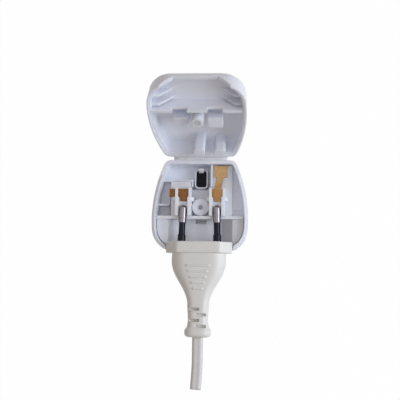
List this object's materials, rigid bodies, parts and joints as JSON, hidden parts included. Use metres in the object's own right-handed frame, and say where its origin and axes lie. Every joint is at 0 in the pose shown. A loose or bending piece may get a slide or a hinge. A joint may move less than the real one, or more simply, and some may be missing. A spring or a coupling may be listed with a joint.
{
  "type": "converter plug with hinged lid",
  "caption": "Flat-pin wall plug housing with a hinged lid, opened to show a small round-pin plug seated on its contacts with a short flat cord.",
  "frame": {"origin": "middle of the three-pin pattern on the engagement face", "axes": "+X to the live pin's side, +Y from the cord towards the hinge, +Z out of the socket, so the pins point down"},
  "size_m": [0.0502, 0.1572, 0.0721],
  "materials": {
    "housing_white": "semi-gloss moulded",
    "holder_white": "semi-gloss moulded",
    "black_plastic": "satin",
    "cream_plastic": "soft semi-gloss",
    "cord_plastic": "satin",
    "brass": "stamped",
    "nickel": "plated",
    "plated_steel": "zinc plated",
    "fuse_ceramic": "matt"
  },
  "bodies": {
    "base": {"base_shell": "housing_white", "contact_carrier": "housing_white", "hinge_film": "housing_white", "live_pin": "brass", "neutral_pin": "brass", "live_pin_sleeve": "black_plastic", "neutral_pin_sleeve": "black_plastic", "earth_pin": "black_plastic", "fuse_tube": "fuse_ceramic", "fuse_cap_front": "nickel", "fuse_cap_rear": "nickel", "fuse_cover": "housing_white", "fuse_clip": "brass", "left_contact_holder": "holder_white", "right_contact_holder": "holder_white", "live_contact": "brass", "neutral_contact": "brass", "plug_body": "cream_plastic", "plug_pin_left": "nickel", "plug_pin_right": "nickel", "plug_pin_sleeve_left": "black_plastic", "plug_pin_sleeve_right": "black_plastic", "cord_stub": "cord_plastic"},
    "lid": {"lid_shell": "housing_white", "closing_screw": "plated_steel"}
  },
  "joints": [
    {"name": "lid_hinge", "type": "hinge", "parent": "base", "child": "lid", "pos_m": [0, 0.02122, 0.01245], "axis": [1, 0, 0], "range_deg": [-51, 129], "stiffness_Nm_per_rad": 0.03, "springref_deg": 3.48, "deforming": ["hinge_film"]}
  ]
}
